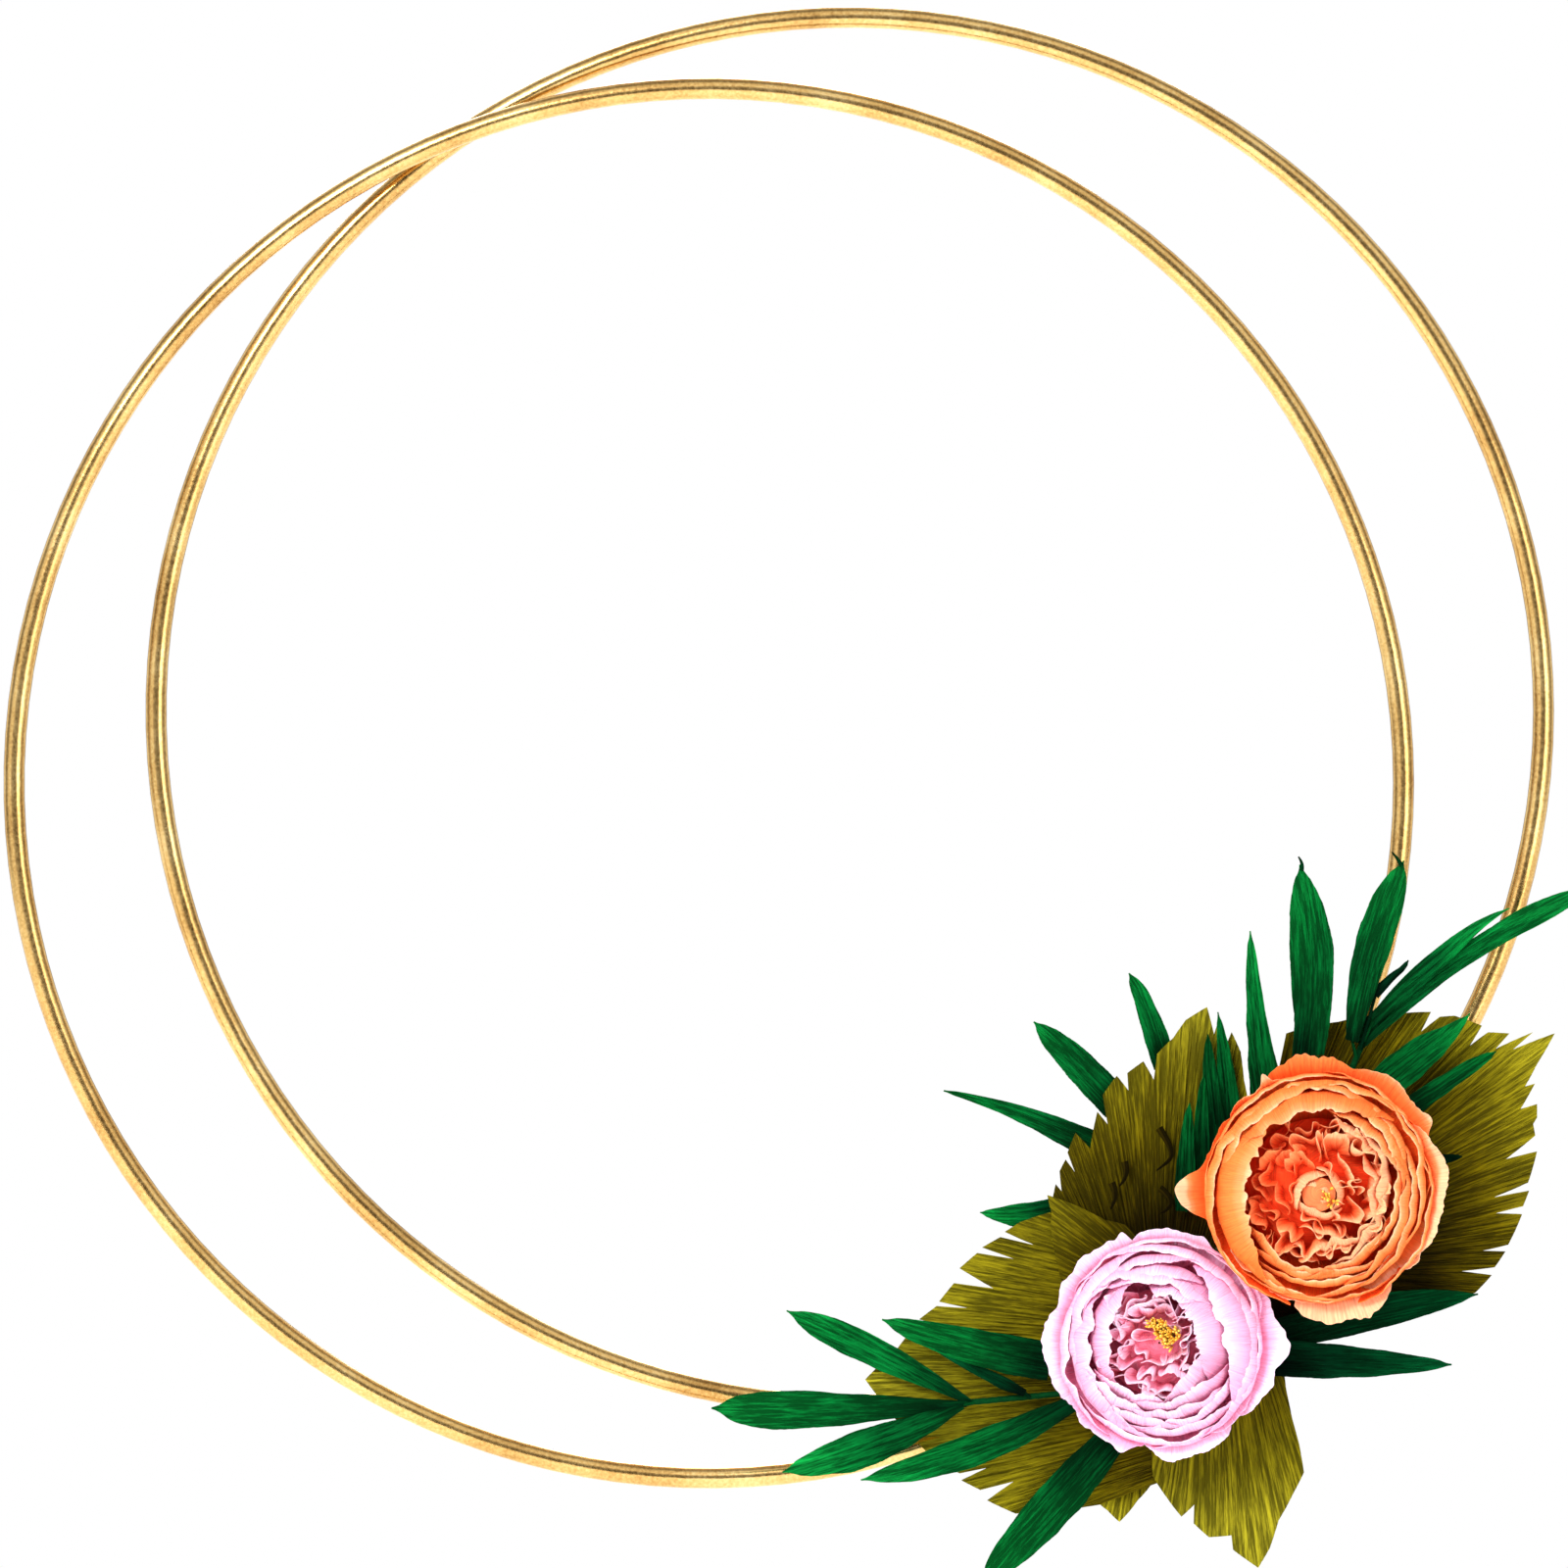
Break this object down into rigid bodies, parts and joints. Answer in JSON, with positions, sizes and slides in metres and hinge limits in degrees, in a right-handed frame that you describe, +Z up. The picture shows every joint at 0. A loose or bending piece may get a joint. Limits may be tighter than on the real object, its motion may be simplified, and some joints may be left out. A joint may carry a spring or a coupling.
{
  "type": "wreath frame",
  "caption": "Overlapping gold hoops lashed where they cross, dressed at the lower right with wired paper flowers and leaves.",
  "frame": {"origin": "hang point: top centre of the front hoop's inner edge, in the hoop's middle plane", "axes": "+Z up as it hangs, +X to the right seen from the front, -Y towards the viewer, +Y towards the wall"},
  "size_m": [0.4504, 0.0621, 0.4465],
  "materials": {
    "hoop_gold": "polished gold plate with fine brushed marks",
    "lashing_wire": "fine florist wire, matt olive",
    "stem_tape": "waxed stretch tape, wound in a spiral",
    "wrapped_stem": "steel wire wrapped in green paper tape",
    "olive_crepe": "crepe paper, grain along the leaf",
    "green_crepe": "crepe paper, fine grain along the blade",
    "calyx_crepe": "crepe paper",
    "stamen_yellow": "cut crepe fringe",
    "pink_crepe": "crepe paper, near white at the edges",
    "pink_crepe_inner": "crepe paper, ruffled",
    "orange_crepe": "crepe paper, peach at the edges",
    "orange_crepe_inner": "crepe paper, ruffled"
  },
  "bodies": {
    "frame": {"front_hoop": "hoop_gold", "crossing_lashing": "lashing_wire", "stem_bundle": "stem_tape", "binding_tape": "stem_tape", "sprig_wires": "wrapped_stem", "leaf_wires": "wrapped_stem", "olive_leaf_inner": "olive_crepe", "olive_leaf_fold": "olive_crepe", "olive_leaf_left": "olive_crepe", "olive_leaf_right": "olive_crepe", "olive_leaf_lower": "olive_crepe", "olive_leaf_small": "olive_crepe", "pink_stem": "wrapped_stem", "orange_stem": "wrapped_stem"},
    "rear_ring": {"rear_hoop": "hoop_gold"},
    "pink_bloom": {"pink_calyx": "calyx_crepe", "pink_core": "pink_crepe_inner", "pink_stamens": "stamen_yellow", "pink_inner_petals": "pink_crepe_inner", "pink_middle_petals": "pink_crepe", "pink_outer_petals": "pink_crepe"},
    "orange_bloom": {"orange_calyx": "calyx_crepe", "orange_core": "orange_crepe_inner", "orange_stamens": "stamen_yellow", "orange_inner_petals": "orange_crepe_inner", "orange_middle_petals": "orange_crepe", "orange_outer_petals": "orange_crepe"},
    "left_sprig": {"left_sprig_stem": "wrapped_stem", "left_blade_1": "green_crepe", "left_blade_2": "green_crepe", "left_blade_3": "green_crepe", "left_blade_4": "green_crepe"},
    "lower_sprig": {"lower_sprig_stem": "wrapped_stem", "lower_blade_1": "green_crepe", "lower_blade_2": "green_crepe", "lower_blade_3": "green_crepe", "lower_blade_4": "green_crepe", "lower_blade_5": "green_crepe", "lower_blade_6": "green_crepe"},
    "upper_sprig": {"upper_sprig_stem": "wrapped_stem", "upper_blade_1": "green_crepe", "upper_blade_2": "green_crepe", "upper_blade_3": "green_crepe", "upper_blade_4": "green_crepe", "upper_blade_5": "green_crepe", "upper_blade_6": "green_crepe", "upper_blade_7": "green_crepe", "upper_blade_8": "green_crepe", "upper_blade_9": "green_crepe"},
    "inner_sprig": {"inner_sprig_stem": "wrapped_stem", "inner_blade_1": "green_crepe", "inner_blade_2": "green_crepe", "inner_blade_3": "green_crepe", "inner_blade_4": "green_crepe"},
    "right_sprig": {"right_sprig_stem": "wrapped_stem", "right_blade_1": "green_crepe", "right_blade_2": "green_crepe"},
    "bottom_sprig": {"bottom_sprig_stem": "wrapped_stem", "bottom_blade": "green_crepe"}
  },
  "joints": [
    {"name": "hoop_fan", "type": "hinge", "parent": "frame", "child": "rear_ring", "pos_m": [0.10926, 0.007, -0.35792], "axis": [0, -1, 0], "range_deg": [-10, 13.1]},
    {"name": "pink_flower_turn", "type": "hinge", "parent": "frame", "child": "pink_bloom", "pos_m": [0.129, -0.02, -0.352], "axis": [0, -1, 0], "range_deg": [-30, 30]},
    {"name": "orange_flower_turn", "type": "hinge", "parent": "frame", "child": "orange_bloom", "pos_m": [0.1715, -0.03, -0.3085], "axis": [0, -1, 0], "range_deg": [-30, 30]},
    {"name": "left_sprig_swing", "type": "hinge", "parent": "frame", "child": "left_sprig", "pos_m": [0.1415, -0.0043, -0.3195], "axis": [0, -1, 0], "range_deg": [-8, 8]},
    {"name": "lower_sprig_swing", "type": "hinge", "parent": "frame", "child": "lower_sprig", "pos_m": [0.112, -0.0106, -0.362], "axis": [0, -1, 0], "range_deg": [-8, 8]},
    {"name": "upper_sprig_swing", "type": "hinge", "parent": "frame", "child": "upper_sprig", "pos_m": [0.1745, -0.0114, -0.288], "axis": [0, -1, 0], "range_deg": [-8, 8]},
    {"name": "inner_sprig_swing", "type": "hinge", "parent": "frame", "child": "inner_sprig", "pos_m": [0.148, -0.0098, -0.311], "axis": [0, -1, 0], "range_deg": [-8, 8]},
    {"name": "right_sprig_swing", "type": "hinge", "parent": "frame", "child": "right_sprig", "pos_m": [0.147, -0.0106, -0.351], "axis": [0, -1, 0], "range_deg": [-8, 8]},
    {"name": "bottom_sprig_swing", "type": "hinge", "parent": "frame", "child": "bottom_sprig", "pos_m": [0.122, -0.0106, -0.368], "axis": [0, -1, 0], "range_deg": [-8, 8]}
  ]
}
